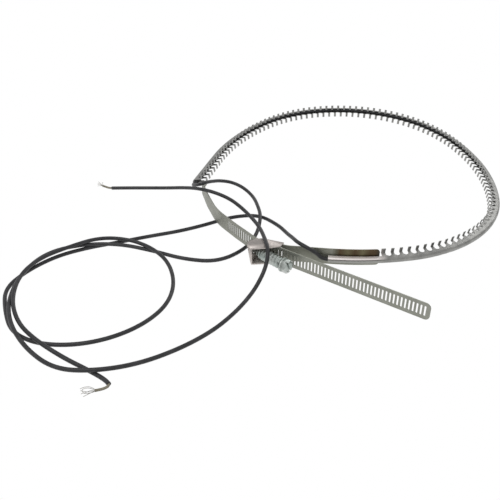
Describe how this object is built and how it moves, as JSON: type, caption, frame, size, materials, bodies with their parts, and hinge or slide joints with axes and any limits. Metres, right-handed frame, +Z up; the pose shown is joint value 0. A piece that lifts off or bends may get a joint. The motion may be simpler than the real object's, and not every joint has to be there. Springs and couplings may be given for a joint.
{
  "type": "crankcase heater belt",
  "caption": "Belt heater for a compressor crankcase: toothed steel channel with a heating cable in its nose, two free leads, and a slotted clamp band with worm screw",
  "frame": {"origin": "on the table, under the centre of the belt's ring", "axes": "+Z up along the belt's own axis, +Y away from the worm clamp's side, +X to the clamp tail's side; the leads lie towards -X"},
  "size_m": [0.3684, 0.3915, 0.0213],
  "materials": {
    "channel_steel": "bright rolled stainless strip",
    "silicone": "matt silicone rubber",
    "lead_jacket": "satin black silicone jacket",
    "glass_braid": "tan glass braid",
    "tinned_strands": "dull tinned copper strands",
    "band_steel": "matt stainless band",
    "housing_zinc": "zinc plated sheet",
    "screw_zinc": "greenish zinc plating"
  },
  "bodies": {
    "belt": {"toothed_channel": "channel_steel", "heating_cable": "silicone", "splice_sleeve_a": "silicone", "splice_sleeve_b": "silicone", "lead_a": "lead_jacket", "lead_b": "lead_jacket", "lead_a_braid": "glass_braid", "lead_b_braid": "glass_braid", "lead_a_strands": "tinned_strands", "lead_b_strands": "tinned_strands", "clamp_strap": "band_steel", "housing_strap": "band_steel", "worm_housing": "housing_zinc"},
    "screw": {"worm_screw": "screw_zinc"}
  },
  "joints": [
    {"name": "worm_turn", "type": "hinge", "parent": "belt", "child": "screw", "pos_m": [-0.07745, -0.12171, 0.0093], "axis": [0.7326, -0.6807, 0.0018], "continuous": true}
  ]
}
